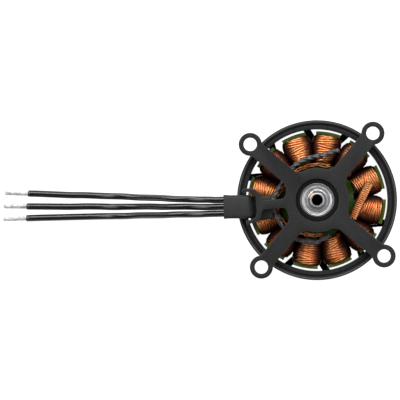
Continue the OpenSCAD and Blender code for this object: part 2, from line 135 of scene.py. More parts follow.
SLEEVE_ROUTE = [(-19, 0.36, 13.6), (-18.6, 0.33, 13.6), (-17.8, 0.25, 13.6), (-16.2, 0.12, 13.6),
                (-14.9, 0.02, 13.6), (-14.2, -0.03, 13.58), (-13.8, -0.05, 13.45), (-13.4, -0.05, 13.05),
                (-13.0, -0.05, 12.5), (-12.6, -0.05, 12.1), (-12.2, -0.25, 12.05), (-11.7, -0.5, 12.05),
                (-10.6, -0.51, 12.05), (-9.5, -0.52, 12.05), (-9.3, -0.52, 12.05)]
# Width and thickness of the sleeve at each point of its route.
SLEEVE_SIZES = [(4.96, 2.1), (4.86, 2.04), (4.76, 2.0), (4.76, 2.0), (4.76, 2.0), (4.76, 2.0), (4.7, 2.0),
                (4.4, 1.9), (4.15, 1.75), (4.05, 1.6), (4.5, 1.52), (4.95, 1.5), (4.95, 1.5), (4.95, 1.5),
                (4.7, 1.25)]

PHASE_SLEEVE_ROUTES = {
    "a": [(-9.25, 1.2, 12.05), (-8.8, 1.2, 12.05), (-8.2, 2.1, 12.1), (-6.6, 4.3, 12.15), (-4.4, 7, 12.15),
          (-2.2, 8.2, 12.1), (0, 8.8, 12.1), (2.3, 9, 12.1), (4.1, 9.5, 12), (5.4, 9.6, 11.8)],
    "b": [(-9.25, -1.4, 12.05), (-8.8, -1.4, 12.05), (-8.4, -2.7, 12.1), (-7.1, -5.1, 12.15),
          (-4.6, -7.6, 12.15), (-2.7, -8.1, 12.1), (-1, -8.5, 12.1), (0.4, -8, 12.1), (1.9, -7.3, 12)],
    "c": [(-9.25, -0.1, 12.05), (-8.8, -0.1, 12.05), (-8, 0.1, 11.8), (-7.3, 0.4, 11.3), (-6.8, 0.7, 10.7)],
}
JUMPER_ROUTES = {
    "a": [(10.9, 2.4, 11.3), (9.5, 0.2, 11.3), (8.1, -2.1, 11.3), (6.8, -4.3, 11.3)],
    "b": [(-8.5, 1.3, 11.3), (-7.2, 2.3, 11.2), (-5.9, 3.4, 10.8), (-4.9, 5.1, 10.4), (-3.3, 6.4, 10.2),
          (-1.2, 7, 10.1), (1.1, 7.2, 10.1), (3.2, 6.6, 10.2)],
    "c": [(-8.4, -2.2, 11.25), (-6.6, -4.5, 11.2), (-5.2, -5.5, 10.9), (-3.6, -6.3, 10.4), (-1.5, -7, 10.1),
          (0.6, -7.2, 10.1)],
}


# Curves and meshes

def smooth_route(points, steps):
    """Points on a smooth curve through a route. Each stretch of the route takes the number of steps."""
    p = np.array(points, float)
    p = np.vstack([2 * p[0] - p[1], p, 2 * p[-1] - p[-2]])
    t = np.linspace(0, 1, steps, endpoint=False)[:, None]
    out = []
    for a, b, c, d in zip(p, p[1:], p[2:], p[3:]):
        square, cube = 2 * a - 5 * b + 4 * c - d, 3 * b - a - 3 * c + d
        out.append((2 * b + (c - a) * t + square * t**2 + cube * t**3) / 2)
    return np.vstack(out + [p[-2]])


def lengths_along(path):
    """Distance from the start of a path to each of its points."""
    return np.concatenate([[0], np.cumsum(np.linalg.norm(np.diff(path, axis=0), axis=1))])


def unit(v):
    """A vector, or each vector of an array, at a length of 1."""
    return v / np.linalg.norm(v, axis=-1, keepdims=True)


def carried_axes(path):
    """Side and up vectors at each point of a path, turned as little as possible along it."""
    ahead = unit(np.gradient(path, axis=0))
    start = np.cross(Z_AXIS, ahead[0])
    side = [unit(start if np.linalg.norm(start) > 1e-3 else np.cross([1.0, 0, 0], ahead[0]))]
    for t in ahead[1:]:
        side.append(unit(side[-1] - np.dot(side[-1], t) * t))
    side = np.array(side)
    return side, np.cross(ahead, side)


def level_axes(path):
    """Side and up vectors at each point of a path, with every side vector level."""
    ahead = unit(np.gradient(path, axis=0))
    side = unit(np.cross(Z_AXIS, ahead))
    return side, np.cross(ahead, side)


def circle(r, sides=10):
    """Closed round outline."""
    a = (np.arange(sides) + 0.5) * 2 * math.pi / sides
    return np.stack([r * np.cos(a), r * np.sin(a)], axis=-1)


def skin(rings, capped=(True, True)):
    """Vertices and faces of a skin through a row of closed rings."""
    n, sides = rings.shape[:2]
    k = np.arange(sides)
    nxt = (k + 1) % sides
    faces = []
    for i in range(n - 1):
        here, there = i * sides, (i + 1) * sides
        faces += np.stack([here + k, here + nxt, there + nxt, there + k], axis=-1).tolist()
    if capped[0]:
        faces.append(k[::-1].tolist())
    if capped[1]:
        faces.append(((n - 1) * sides + k).tolist())
    return rings.reshape(-1, 3), faces


def sweep(path, outline, axes=carried_axes):
    """Tube along a path. outline is one closed outline of (side, up) offsets, or one for each point."""
    path = np.asarray(path, float)
    outline = np.broadcast_to(outline, (len(path),) + np.shape(outline)[-2:])
    side, up = axes(path)
    return skin(path[:, None] + outline[..., :1] * side[:, None] + outline[..., 1:] * up[:, None])


def soft_ended(path, r, sides, rounding=0.18):
    """Round tube along a path, with its two end edges rounded."""
    s = lengths_along(path)
    bend = np.linspace(0, math.pi / 2, 4)[1:]
    back = rounding * (1 - np.sin(bend))
    narrowed = list(r - rounding * (1 - np.cos(bend)))
    head = [path[0] - unit(path[0] - path[1]) * x for x in back[::-1]]
    tail = [path[-1] - unit(path[-1] - path[-2]) * x for x in back]
    inner = [p for p, x in zip(path, s) if rounding < x < s[-1] - rounding]
    radii = narrowed[::-1] + [r] * len(inner) + narrowed
    return sweep(np.array(head + inner + tail), np.array([circle(x, sides) for x in radii]))


def rounded(corners, r, steps=3):
    """Closed outline with each corner rounded by about r, or by each corner's own value."""
    most = 0.45  # the largest share of a side that one corner may take
    corners = np.array(corners, float)
    reach = np.broadcast_to(r, len(corners))
    t = np.linspace(0, 1, steps + 1)[:, None]
    out = []
    for i, p in enumerate(corners):
        before, after = corners[i - 1] - p, corners[(i + 1) % len(corners)] - p
        a = p + before * min(reach[i] / np.linalg.norm(before), most)
        b = p + after * min(reach[i] / np.linalg.norm(after), most)
        out.append((1 - t) ** 2 * a + 2 * t * (1 - t) * p + t**2 * b)
    return np.vstack(out)


def turned_part(profile, steps=160, start=0.0, turn=360.0):
    """A closed (radius, z) profile turned about Z, all the way or between two ends."""
    whole = turn >= 360
    angles = np.radians(start + turn * np.arange(steps + (0 if whole else 1)) / steps)[:, None]
    r, z = np.asarray(profile, float)[::-1].T
    rings = np.stack([r * np.cos(angles), r * np.sin(angles), z + 0 * angles], axis=-1)
    if whole:
        rings = np.concatenate([rings, rings[:1]])
    return skin(rings, (not whole, not whole))


def spun(part, degrees):
    """A part turned about Z."""
    a = math.radians(degrees)
    turn = np.array([[math.cos(a), math.sin(a), 0], [-math.sin(a), math.cos(a), 0], [0, 0, 1]])
    return part[0] @ turn, part[1]


def finish_mesh(mesh):
    """Welds a mesh, turns its faces outwards and shades it smooth up to SMOOTH_ANGLE."""
    bm = bmesh.new()
    bm.from_mesh(mesh)
    bmesh.ops.remove_doubles(bm, verts=bm.verts, dist=WELD)
    bmesh.ops.recalc_face_normals(bm, faces=bm.faces)
    bm.to_mesh(mesh)
    bm.free()
    mesh.shade_smooth()
    mesh.set_sharp_from_angle(angle=math.radians(SMOOTH_ANGLE))


def place(mesh, body, slot, replaced):
    """Puts a mesh in the scene as a piece that rides on a body and stands for the CAD nodes in replaced."""
    obj = bpy.data.objects.new(mesh.name, mesh)
    bpy.context.scene.collection.objects.link(obj)
    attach(obj, body)
    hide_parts(*replaced)
    return obj


def add_piece(name, parts, finishes, body, slot, replaced):
    """One piece from parts, each (vertices, faces) or (vertices, faces, finish number)."""
    verts, faces, numbers, base = [], [], [], 0
    for part in parts:
        v, f = part[:2]
        verts.append(np.asarray(v) * MM)
        faces += [[i + base for i in face] for face in f]
        numbers += [part[2] if len(part) > 2 else 0] * len(f)
        base += len(v)
    mesh = bpy.data.meshes.new(name)
    mesh.from_pydata(np.vstack(verts).tolist(), [], faces)
    mesh.polygons.foreach_set("material_index", numbers)
    for m in finishes:
        mesh.materials.append(m)
    finish_mesh(mesh)
    return place(mesh, body, slot, replaced)


def bevelled_copy(node, name, finishes, body, slot, width):
    """A copy of a CAD node with its sharp edges rounded. The rounded edges take the last finish."""
    bm = bmesh.new()
    bm.from_mesh(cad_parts[node].data)
    bmesh.ops.remove_doubles(bm, verts=bm.verts, dist=CAD_WELD)
    bmesh.ops.dissolve_limit(bm, angle_limit=math.radians(FLAT_ANGLE), verts=bm.verts, edges=bm.edges)
    for f in bm.faces:
        f.material_index = 0
    edge_angle = math.radians(EDGE_ANGLE)
    sharp = [e for e in bm.edges if len(e.link_faces) == 2 and e.calc_face_angle() > edge_angle]
    bmesh.ops.bevel(bm, geom=sharp, offset=width * MM, segments=2, profile=0.5, affect="EDGES",
                    clamp_overlap=False, material=len(finishes) - 1)
    mesh = bpy.data.meshes.new(name)
    bm.to_mesh(mesh)
    bm.free()
    for m in finishes:
        mesh.materials.append(m)
    finish_mesh(mesh)
    return place(mesh, body, slot, [node])


# Materials

class Surface:
    """A Principled material with a few procedural layers."""

    def __init__(self, name, **constants):
        self.material = bpy.data.materials.new(name)
        self.material.use_nodes = True
        self.tree = self.material.node_tree
        self.shader = self.tree.nodes["Principled BSDF"]
        for socket, value in constants.items():
            self.shader.inputs[socket.replace("_", " ")].default_value = value
        coordinates = self.tree.nodes.new("ShaderNodeTexCoord")
        self.place = coordinates.outputs["Object"]

    def node(self, kind, **settings):
        made = self.tree.nodes.new(kind)
        for key, value in settings.items():
            setattr(made, key, value)
        return made

    def link(self, out, into):
        self.tree.links.new(out, into)

    def turned_place(self):
        """Place as (distance from the shaft's axis, 0, height), so that noise runs in rings."""
        flat = self.node("ShaderNodeVectorMath", operation="MULTIPLY")
        flat.inputs[1].default_value = (1, 1, 0)
        self.link(self.place, flat.inputs[0])
        length = self.node("ShaderNodeVectorMath", operation="LENGTH")
        self.link(flat.outputs[0], length.inputs[0])
        parts = self.node("ShaderNodeSeparateXYZ")
        self.link(self.place, parts.inputs[0])
        joined = self.node("ShaderNodeCombineXYZ")
        self.link(length.outputs["Value"], joined.inputs["X"])
        self.link(parts.outputs["Z"], joined.inputs["Z"])
        return joined.outputs[0]

    def noise(self, scale, detail=3.0, place=None, low=0.3, high=0.7):
        """Noise spread over 0 to 1 between the two levels. scale is in features per metre."""
        noise = self.node("ShaderNodeTexNoise")
        noise.inputs["Scale"].default_value = scale
        noise.inputs["Detail"].default_value = detail
        self.link(place or self.place, noise.inputs["Vector"])
        return self.spread(noise.outputs["Fac"], low, high)

    def spread(self, value, low, high, to_low=0.0, to_high=1.0):
        """A value carried from one range to another, and held at its ends."""
        spread = self.node("ShaderNodeMapRange")
        for socket, v in zip(("From Min", "From Max", "To Min", "To Max"), (low, high, to_low, to_high)):
            spread.inputs[socket].default_value = v
        self.link(value, spread.inputs["Value"])
        return spread.outputs["Result"]

    def by_radius(self, stops):
        """Colours in rings about the shaft's axis, from (radius, colour) stops in millimetres."""
        parts = self.node("ShaderNodeSeparateXYZ")
        self.link(self.turned_place(), parts.inputs[0])
        ramp = self.node("ShaderNodeValToRGB")
        first, last = stops[0][0], stops[-1][0]
        self.link(self.spread(parts.outputs["X"], first * MM, last * MM), ramp.inputs["Fac"])
        elements = ramp.color_ramp.elements
        while len(elements) < len(stops):
            elements.new(0.5)
        for element, (r, _) in zip(elements, stops):
            element.position = (r - first) / (last - first)
        for element, (_, c) in zip(elements, stops):
            element.color = (*c, 1)
        return ramp.outputs["Color"]

    def mix(self, factor, first, second):
        """A colour between two colours or colour outputs."""
        mix = self.node("ShaderNodeMix", data_type="RGBA")
        self.link(factor, mix.inputs["Factor"])
        colour_inputs = mix.inputs[6], mix.inputs[7]
        for value, socket in zip((first, second), colour_inputs):
            if isinstance(value, tuple):
                socket.default_value = (*value, 1)
            else:
                self.link(value, socket)
        return mix.outputs[2]

    def color(self, output):
        self.link(output, self.shader.inputs["Base Color"])

    def roughness(self, factor, low, high):
        self.link(self.spread(factor, 0, 1, low, high), self.shader.inputs["Roughness"])

    def bump(self, height, distance):
        """Bumps of a height in metres."""
        bump = self.node("ShaderNodeBump")
        bump.inputs["Distance"].default_value = distance
        self.link(height, bump.inputs["Height"])
        self.link(bump.outputs[0], self.shader.inputs["Normal"])


def grained(name, dark, light, roughness, scale, bump, turned=False, **constants):
    """Surface whose colour and roughness vary with one noise, over a finer bumpy grain."""
    finer = 2.5
    s = Surface(name, **constants)
    where = s.turned_place() if turned else s.place
    patches = s.noise(scale, place=where)
    s.color(s.mix(patches, dark, light))
    s.roughness(patches, *roughness)
    s.bump(s.noise(scale * finer, 2.0, where), bump)
    return s.material


def metal_with_painted_rings(name, stops, roughness, bump, **constants):
    """Turned metal whose brightness changes in rings of painted highlight and painted shade, under fine
    turning marks that darken it.
    """
    blueness, darkening = 1.02, 0.35
    s = Surface(name, **constants)
    marks = s.noise(7000, place=s.turned_place())
    # Painted highlight and painted shade in rings about the shaft's axis.
    rings = s.by_radius([(r, (c, c, c * blueness)) for r, c in stops])
    s.color(s.mix(s.spread(marks, 0, 1, 0, darkening), rings, (0.0, 0.0, 0.0)))
    s.roughness(marks, *roughness)
    s.bump(marks, bump)
    return s.material


def anodised(name, dark, light, roughness, **constants):
    """Bead-blasted metal under a black dye, with fine light specks painted in as glints where grains catch
    the light.
    """
    s = Surface(name, **constants)
    glint_brightness, glint_share = 3.4, 0.6
    specks = s.noise(7000, 2.0, low=0.45, high=0.72)
    cloud = s.noise(450, 3.0)
    # Painted highlight: the specks take a colour far brighter than the dye.
    glint = tuple(glint_brightness * c for c in light)
    s.color(s.mix(s.spread(specks, 0, 1, 0, glint_share), s.mix(cloud, dark, light), glint))
    s.roughness(cloud, *roughness)
    s.bump(s.noise(6000, 3.0), 0.000012)
    return s.material


def enamelled_copper(name, orange, red, shade_brown, low_z, high_z, **constants):
    """Copper wire in amber enamel, in red and orange patches, darkened by painted shade to shade_brown from
    high_z down to low_z, down the sides of a winding or a link.
    """
    s = Surface(name, **constants)
    parts = s.node("ShaderNodeSeparateXYZ")
    s.link(s.place, parts.inputs[0])
    # Painted shade: the lower the wire, the darker it is.
    height = s.spread(parts.outputs["Z"], low_z * MM, high_z * MM)
    patches = s.noise(420, 2.0, low=0.35, high=0.65)
    upper = s.mix(patches, red, orange)
    s.color(s.mix(height, shade_brown, upper))
    s.roughness(s.noise(1500), 0.38, 0.5)
    s.bump(s.noise(3000, 2.0), 0.000003)
    return s.material


def laminated(name, dark, light, **constants):
    """Edges of stacked sheets. At a scale of 1, the wave node has 20 / (2 pi) bands in a metre."""
    sheet = 0.2 * MM
    s = Surface(name, **constants)
    wave = s.node("ShaderNodeTexWave", wave_type="BANDS", bands_direction="Z")
    wave.inputs["Scale"].default_value = 2 * math.pi / (20 * sheet)
    s.link(s.place, wave.inputs["Vector"])
    s.color(s.mix(s.noise(1500), dark, light))
    s.roughness(s.noise(3000), 0.35, 0.55)
    s.bump(wave.outputs["Fac"], 0.00002)
    return s.material


BLACK = anodised("black_anodised", (0.0085, 0.0085, 0.0089), (0.0135, 0.0135, 0.0141), (0.6, 0.72),
                 Specular_IOR_Level=0.18)
# Painted highlight: the rounded edges take a lighter, shinier black than the faces.
BLACK_HIGHLIGHT_EDGE = anodised("black_anodised_painted_highlight", (0.018, 0.018, 0.019), (0.03, 0.03, 0.0315), (0.5, 0.6),
                      Specular_IOR_Level=0.4)
# Painted shade: the bearing tube is a much darker black than the mount, for the shaded recess round the rear
# bearing.
TUBE_PAINTED_SHADE = grained("tube_painted_shade", (0.002, 0.002, 0.0022), (0.004, 0.004, 0.0043), (0.5, 0.65), 3500,
                     0.000006, turned=True, Specular_IOR_Level=0.1)
SILICONE = grained("silicone", (0.0015, 0.0015, 0.0018), (0.003, 0.003, 0.0034), (0.2, 0.25), 900, 0.000001,
                   Specular_IOR_Level=0.7)
SHRINK = grained("heat_shrink", (0.02, 0.02, 0.021), (0.026, 0.026, 0.027), (0.5, 0.6), 700, 0.00001,
                 Specular_IOR_Level=0.2)
SLEEVING = grained("phase_sleeving", (0.016, 0.0175, 0.019), (0.062, 0.067, 0.07), (0.3, 0.42), 1600,
                   0.00006, Specular_IOR_Level=0.6)
# The copper finishes darken below their two heights as painted shade.
COPPER = enamelled_copper("copper_wire", (0.74, 0.33, 0.13), (0.62, 0.19, 0.06), (0.15, 0.016, 0.005),
                          8.7, 10.5, Metallic=1.0, Coat_Weight=0.1, Coat_Roughness=0.2)
COPPER_LINK = enamelled_copper("copper_link", (0.6, 0.25, 0.09), (0.5, 0.16, 0.05), (0.07, 0.01, 0.004),
                               11.25, 11.62, Metallic=1.0, Coat_Weight=0.35, Coat_Roughness=0.15)
# Painted shade: near-black copper for the heart under each winding's turns.
COPPER_PAINTED_SHADE = enamelled_copper("copper_in_shade", (0.12, 0.022, 0.008), (0.06, 0.01, 0.004),
                               (0.012, 0.003, 0.0015), 8.9, 10.7, Metallic=0.5)
LAMINATION = laminated("lamination", (0.2, 0.205, 0.2), (0.33, 0.335, 0.33), Metallic=0.9)
TINNED = grained("tinned_copper", (0.38, 0.38, 0.39), (0.78, 0.78, 0.78), (0.34, 0.48), 1500, 0.000008,
                 Metallic=1.0)
BRASS = grained("brass", (0.75, 0.58, 0.32), (0.9, 0.75, 0.48), (0.25, 0.4), 4000, 0.000006, turned=True,
                Metallic=1.0)

# The brightness of turned metals goes through stops of (radius in millimetres, brightness). Most stops are
# the metal's own brightness; the bright lines are painted highlights and the darkest dips painted shade in
# gaps, grooves and recesses.
# Painted shade: the blind bore is painted near black, and the outer chamfer darker.
SHAFT_STEEL = metal_with_painted_rings("shaft_steel", [(1.0, 0.02), (1.12, 0.05), (1.18, 0.9), (1.4, 0.95), (1.5, 0.6)],
                     (0.22, 0.34), 0.000003, Metallic=1.0)
# Painted highlight along the clip's outer edge, and painted shade on its inner part next to the shaft.
SPRING_STEEL = metal_with_painted_rings("spring_steel", [(1.36, 0.1), (1.5, 0.3), (1.8, 0.36), (1.95, 0.25), (2.06, 0.85),
                                       (2.15, 0.9)], (0.28, 0.4), 0.000005, Metallic=1.0)
# Painted shade: the dark dips at 2.94 mm and out at 3.5 mm draw the gap at the shield's edge and the race's
# edge next to the tube.
BEARING_STEEL = metal_with_painted_rings("bearing_steel", [(1.4, 0.7), (2.0, 0.85), (2.94, 0.3), (3.0, 0.9), (3.15, 0.9),
                                         (3.3, 0.5), (3.5, 0.1)], (0.18, 0.3), 0.000003, Metallic=1.0)
# Painted shade and painted highlight: dark lines at the gap by the inner race, at the shield's step and at
# its edge by the snap wire, with bright highlight rings between them.
SHIELD = metal_with_painted_rings("bearing_shield", [(2.08, 0.06), (2.16, 0.3), (2.24, 0.9), (2.34, 0.95), (2.4, 0.4),
                                   (2.5, 0.6), (2.62, 0.25), (2.7, 0.8), (2.84, 0.95), (2.9, 0.35),
                                   (2.95, 0.3)], (0.26, 0.38), 0.000004, Metallic=1.0)
# Painted highlight: the bright stops at 15.9 to 16.0 mm draw the light line on the rim. The black outer edge
# and the dark inner part are painted shade.
RING_STEEL = metal_with_painted_rings("flux_ring_steel", [(15.4, 0.003), (15.55, 0.005), (15.66, 0.012), (15.82, 0.03),
                                        (15.9, 0.12), (16.0, 0.1), (16.06, 0.004), (16.25, 0.003)],
                    (0.4, 0.55), 0.00001, Metallic=0.1, Specular_IOR_Level=0.2)
# Painted shade: the magnets turn near black towards the flux ring, in the groove between them.
MAGNET = metal_with_painted_rings("magnet", [(14.4, 0.01), (14.7, 0.009), (15.0, 0.016), (15.12, 0.012), (15.2, 0.002),
                           (15.4, 0.001)], (0.45, 0.6), 0.00001, Specular_IOR_Level=0.2)


def green_coating():
    """Green epoxy over the laminations, with painted shade that darkens it on the yoke between the coils and
    a painted highlight out on the tooth tips' edge.
    """
    s = Surface("insulation", Specular_IOR_Level=0.2)
    # Painted shade towards the hub and a painted highlight at 14 mm, on the tips' edge.
    painted_light_by_radius = s.by_radius([(7.5, (0.018, 0.056, 0.004)), (13.3, (0.06, 0.085, 0.008)),
                          (13.8, (0.1, 0.125, 0.012)), (14.0, (0.17, 0.18, 0.03))])
    s.color(s.mix(s.noise(1400), painted_light_by_radius, (0.035, 0.065, 0.006)))
    s.roughness(s.noise(2600), 0.3, 0.45)
    s.bump(s.noise(3500), 0.00001)
    return s.material


GREEN = green_coating()


# Camera

# The view's turn is in degrees, and its other sizes are in metres.
VIEW_TURN = -5.2
VIEW_MIDDLE = (-0.02367, 0.00219)
VIEW_WIDTH = 0.08124
CAMERA_DISTANCE = 3.0


def add_camera():
    """Looks straight down on the mount side through a long lens."""
    data = bpy.data.cameras.new("camera")
    data.sensor_width = 36
    data.lens = data.sensor_width * CAMERA_DISTANCE / VIEW_WIDTH
    data.clip_end = 20
    camera = bpy.data.objects.new("camera", data)
    camera.location = (*VIEW_MIDDLE, RING_Z[1] * MM + CAMERA_DISTANCE)
    camera.rotation_euler = (0, 0, math.radians(VIEW_TURN))
    bpy.context.scene.collection.objects.link(camera)
    bpy.context.scene.camera = camera


# Leads

def lead_strands(letter, end, heading):
    """Twisted tinned strands that stick out of a lead, with ragged ends that splay a little."""
    hidden, splays_from, pitch = 0.3, 3.4, 4.6
    layers = ((1, 0.0, 0.2), (7, 0.33, 0.155))
    rng = random.Random(40 + ord(letter))
    side = unit(np.cross(Z_AXIS, heading))
    parts = []
    for count, ring_r, wire_r in layers:
        for k in range(count):
            shorter = rng.uniform(0.0, 0.55) if ring_r else 0.2
            s = np.linspace(-hidden, TIP_LENGTH - shorter, 26)
            splay = np.clip((s - splays_from) / (TIP_LENGTH - splays_from), 0, 1) ** 2
            r = ring_r * (1 + 0.1 * splay * rng.uniform(-0.5, 0.35))
            phi = 2 * math.pi * (k / count + s / pitch) + 0.15 * math.sin(3 * k)
            across, high = (r * np.cos(phi))[:, None], (r * np.sin(phi))[:, None]
            parts.append(sweep(end + s[:, None] * heading + across * side + high * Z_AXIS, circle(wire_r, 8)))
    return parts


def add_leads():
    """The three silicone leads, with their tinned ends. They lie on the floor where they end."""
    for letter, route in LEAD_ROUTES.items():
        path = smooth_route(route, 5)
        lead = add_piece(f"lead_{letter}_silicone", [soft_ended(path, LEAD_D / 2, 20)], [SILICONE],
                         "stator", "lead_insulation", [f"lead_{letter}"])
        before, end = np.array(route[-2:])
        heading = unit((end - before) * [1, 1, 0])
        tip = add_piece(f"lead_{letter}_strands", lead_strands(letter, end, heading), [TINNED],
                        "stator", "tinned_copper", [f"lead_{letter}_tip"])
        yield letter, lead, tip, path


def sleeve_outline(size, inset=0.0):
    """Flat outline with rounded corners, a little thinner towards its sides."""
    corner_r, thinning, thinned_at = 0.36 * size[1], 0.085, 1.41
    corner_points, flat_points = 16, 11
    half_w, half_h = size[0] / 2, size[1] / 2
    a = (np.arange(4 * corner_points) + 0.5) * 2 * math.pi / (4 * corner_points)
    across = np.sign(np.cos(a)) * (half_w - corner_r) + corner_r * np.cos(a)
    up = np.sign(np.sin(a)) * (half_h - corner_r) + corner_r * np.sin(a)
    right_top, left_top, left_low, right_low = np.split(np.stack([across, up], axis=-1), 4)
    fill = np.linspace(-1, 1, flat_points + 2)[1:-1] * (half_w - corner_r)
    top = np.stack([fill[::-1], np.full(flat_points, half_h)], axis=-1)
    bottom = np.stack([fill, np.full(flat_points, -half_h)], axis=-1)
    outline = np.vstack([right_top, top, left_top, left_low, bottom, right_low])
    outline[:, 1] *= 1 - thinning * (outline[:, 0] / thinned_at) ** 2
    return outline * (1 - 2 * inset / np.array(size))


def add_cable_sleeve():
    """Flat heat-shrink from its open mouth, through the clip and down under the clip's arm."""
    steps, wall, mouth_end_x = 5, 0.27, -16
    lip_reach, lip_inset, end_reach, end_inset = 0.03, 0.1, 0.06, 0.12
    path = smooth_route(SLEEVE_ROUTE, steps)
    sizes = smooth_route([(*size, 0) for size in SLEEVE_SIZES], steps)[:, :2]
    side, _ = level_axes(path)

    def rings(centres, outlines, sides):
        outlines = np.array(outlines)
        return centres[:, None] + outlines[..., :1] * sides[:, None] + outlines[..., 1:] * Z_AXIS

    outer = rings(path, [sleeve_outline(size) for size in sizes], side)
    lip = rings(path[:1] - [[lip_reach, 0, 0]], [sleeve_outline(sizes[0], lip_inset)], side[:1])
    deep = [k for k in range(len(path)) if path[k][0] < mouth_end_x]
    inner = rings(path[deep], [sleeve_outline(sizes[0], wall) for _ in deep], side[deep])
    end = rings(path[-1:] + [[end_reach, 0, 0]], [sleeve_outline(sizes[-1], end_inset)], side[-1:])
    skin_rings = np.concatenate([inner[::-1], lip, outer, end])
    return add_piece("cable_sleeve_shrunk", [skin(skin_rings)], [SHRINK], "stator", "heat_shrink",
                     ["cable_sleeve"])


# Phase tails and links

def add_phase_sleeves():
    """Sleeved tails, lumpy over the three strands that are twisted inside them."""
    mean_r, lump, pitch, sides, start_taper, end_taper = 0.43, 0.1, 4.4, 24, 0.93, 0.9
    around = circle(1, sides)
    angle = np.arctan2(around[:, 1], around[:, 0])
    for letter, route in PHASE_SLEEVE_ROUTES.items():
        rng = random.Random(7 + ord(letter))
        path = smooth_route(route, 12)
        s = lengths_along(path)[:, None]
        wobble = np.array([[0.02 * math.sin(2.7 * x + rng.random())] for x in s[:, 0]])
        r = mean_r + lump * np.cos(3 * (angle - 2 * math.pi * s / pitch)) + wobble
        r[:2] *= start_taper
        r[-1] *= end_taper
        add_piece(f"phase_{letter}_tail", [sweep(path, r[..., None] * around, level_axes)], [SLEEVING],
                  "stator", "phase_sleeving", [f"phase_{letter}_sleeve"])


def rope(route, strands, half, wire_r, pitch, loose=0.0, seed=0, steps=8):
    """Twisted strands along a route. half is half the width and half the height of their flat bundle."""
    rng = random.Random(seed)
    path = smooth_route(route, steps)
    s = lengths_along(path)
    side, up = level_axes(path)
    parts = []
    for k in range(strands):
        phi = 2 * math.pi * (k / strands + s / pitch)
        drift = loose * np.sin(s * rng.uniform(0.8, 1.6) + rng.uniform(0, 6))
        across, high = (half[0] * np.cos(phi) + drift)[:, None], (half[1] * np.sin(phi))[:, None]
        parts.append(sweep(path + across * side + high * up, circle(wire_r, 8)))
    return parts


def shifted(route, spread, drop=0.0):
    """A route scaled about the shaft's axis, and moved down."""
    return [(x * spread, y * spread, z - drop) for x, y, z in route]


def add_jumpers():
    """Bunches of bare enamelled wire that link the coils of each phase."""
    a, b, c = (JUMPER_ROUTES[letter] for letter in "abc")
    bunches = {
        "a": rope(a, 8, (0.68, 0.14), 0.2, 4.0, steps=16),
        "b": (rope(b, 3, (0.3, 0.1), 0.13, 6.0, loose=0.1, seed=2)
              + rope(shifted(b, 1.03, 0.12), 2, (0.12, 0.05), 0.12, 5.0, loose=0.12, seed=5)),
        "c": (rope(c, 3, (0.28, 0.1), 0.13, 5.0, loose=0.1, seed=3)
              + rope(shifted(c, 0.97), 2, (0.1, 0.05), 0.12, 4.0, loose=0.1, seed=6)),
    }
    for letter, parts in bunches.items():
        copper = COPPER_LINK if letter == "a" else COPPER
        add_piece(f"phase_{letter}_link", parts, [copper], "stator", "copper_wire",
                  [f"phase_{letter}_jumper"])


# Windings

# The inside of a winding, painted dark as the shade under its turns: (radius, half width, half height) along
# the tooth.
HEART = [(7.2, 1.945, 1.9), (7.75, 2.093, 2.1), (7.95, 2.146, 3.0), (8.6, 2.32, 3.3), (9.8, 2.642, 3.32),
         (11.1, 2.99, 3.32), (11.9, 3.02, 3.3), (12.7, 2.85, 3.1), (13.2, 2.4, 2.6)]

# Radii between which bands cross a crown, the pitch of the turns in a band, and how far bands overlap.
BANDS_R = (8.35, 13.2)
BAND_PITCH = 0.47
BAND_OVERLAP = 0.15


def squared(c, power):
    """Cosines or sines raised to a power that makes a circle squarer. They keep their signs."""
    return np.sign(c) * np.abs(c) ** power


def winding_point(r, t, inset):
    """Point of a winding's surface on the tooth along +X, at a radius and an angle about the tooth."""
    middle_r, level, fall, drop, power = 10.5, 1.7, 1.05, 0.5, 2 / 2.25
    half_w = np.interp(r, COIL_WIDTH_AT, COIL_HALF_WIDTHS) - inset
    towards_end = np.clip((np.abs(r - middle_r) - level) / fall, 0, 1)
    half_h = COIL_HALF_H - inset - drop * towards_end**2
    return np.stack([r, half_w * squared(np.cos(t), power), COIL_MID_Z + half_h * squared(np.sin(t), power)],
                    axis=-1)


def winding_layer(rng, lean):
    """One layer of turns from the hub end of a tooth to its tip, a little wavy."""
    turns, per_turn, wire_r, inset, skew, wave = 13, 34, 0.2, 0.42, -0.35 * lean, 0.03
    n = turns * per_turn
    t = np.linspace(0, 2 * math.pi * turns, n) - math.pi / 2
    reach = (COIL_R[0] + wire_r + 0.05, COIL_R[1] - wire_r)
    first, second, third = [rng.uniform(0, 2 * math.pi) for _ in range(3)]
    waves = wave * (np.sin(0.37 * t + first) + np.sin(0.83 * t + second))
    r = np.clip(np.linspace(*reach, n) + skew * np.cos(t) + waves, *reach)
    lift = inset + 0.6 * wave * np.sin(0.61 * t + third)
    return sweep(winding_point(r, t, lift), circle(wire_r, 8))


def winding_band(rng, middle, count, slant, inset):
    """Neighbouring turns that run side by side over the crown at one slant and dip in at both sides."""
    half_turn, wire_r, squeeze, ripple, unevenness, dip = math.radians(122), 0.22, 0.12, 0.02, 0.03, 0.4
    u = np.linspace(-1, 1, 34)
    t = math.pi / 2 + half_turn * u
    bend = rng.uniform(-0.2, 0.2)
    parts = []
    for k in range(count):
        from_middle = (k - (count - 1) / 2) * BAND_PITCH * (1 - squeeze * u**2)
        r = middle + from_middle + slant * u + bend * u**2
        r = r + ripple * np.sin(2.5 * t + rng.uniform(0, 6))
        r = np.clip(r, COIL_R[0] + wire_r, COIL_R[1] - wire_r)
        depth = inset + unevenness * rng.random() + dip * np.abs(u) ** 8
        parts.append(sweep(winding_point(r, t, depth), circle(wire_r, 8)))
    return parts


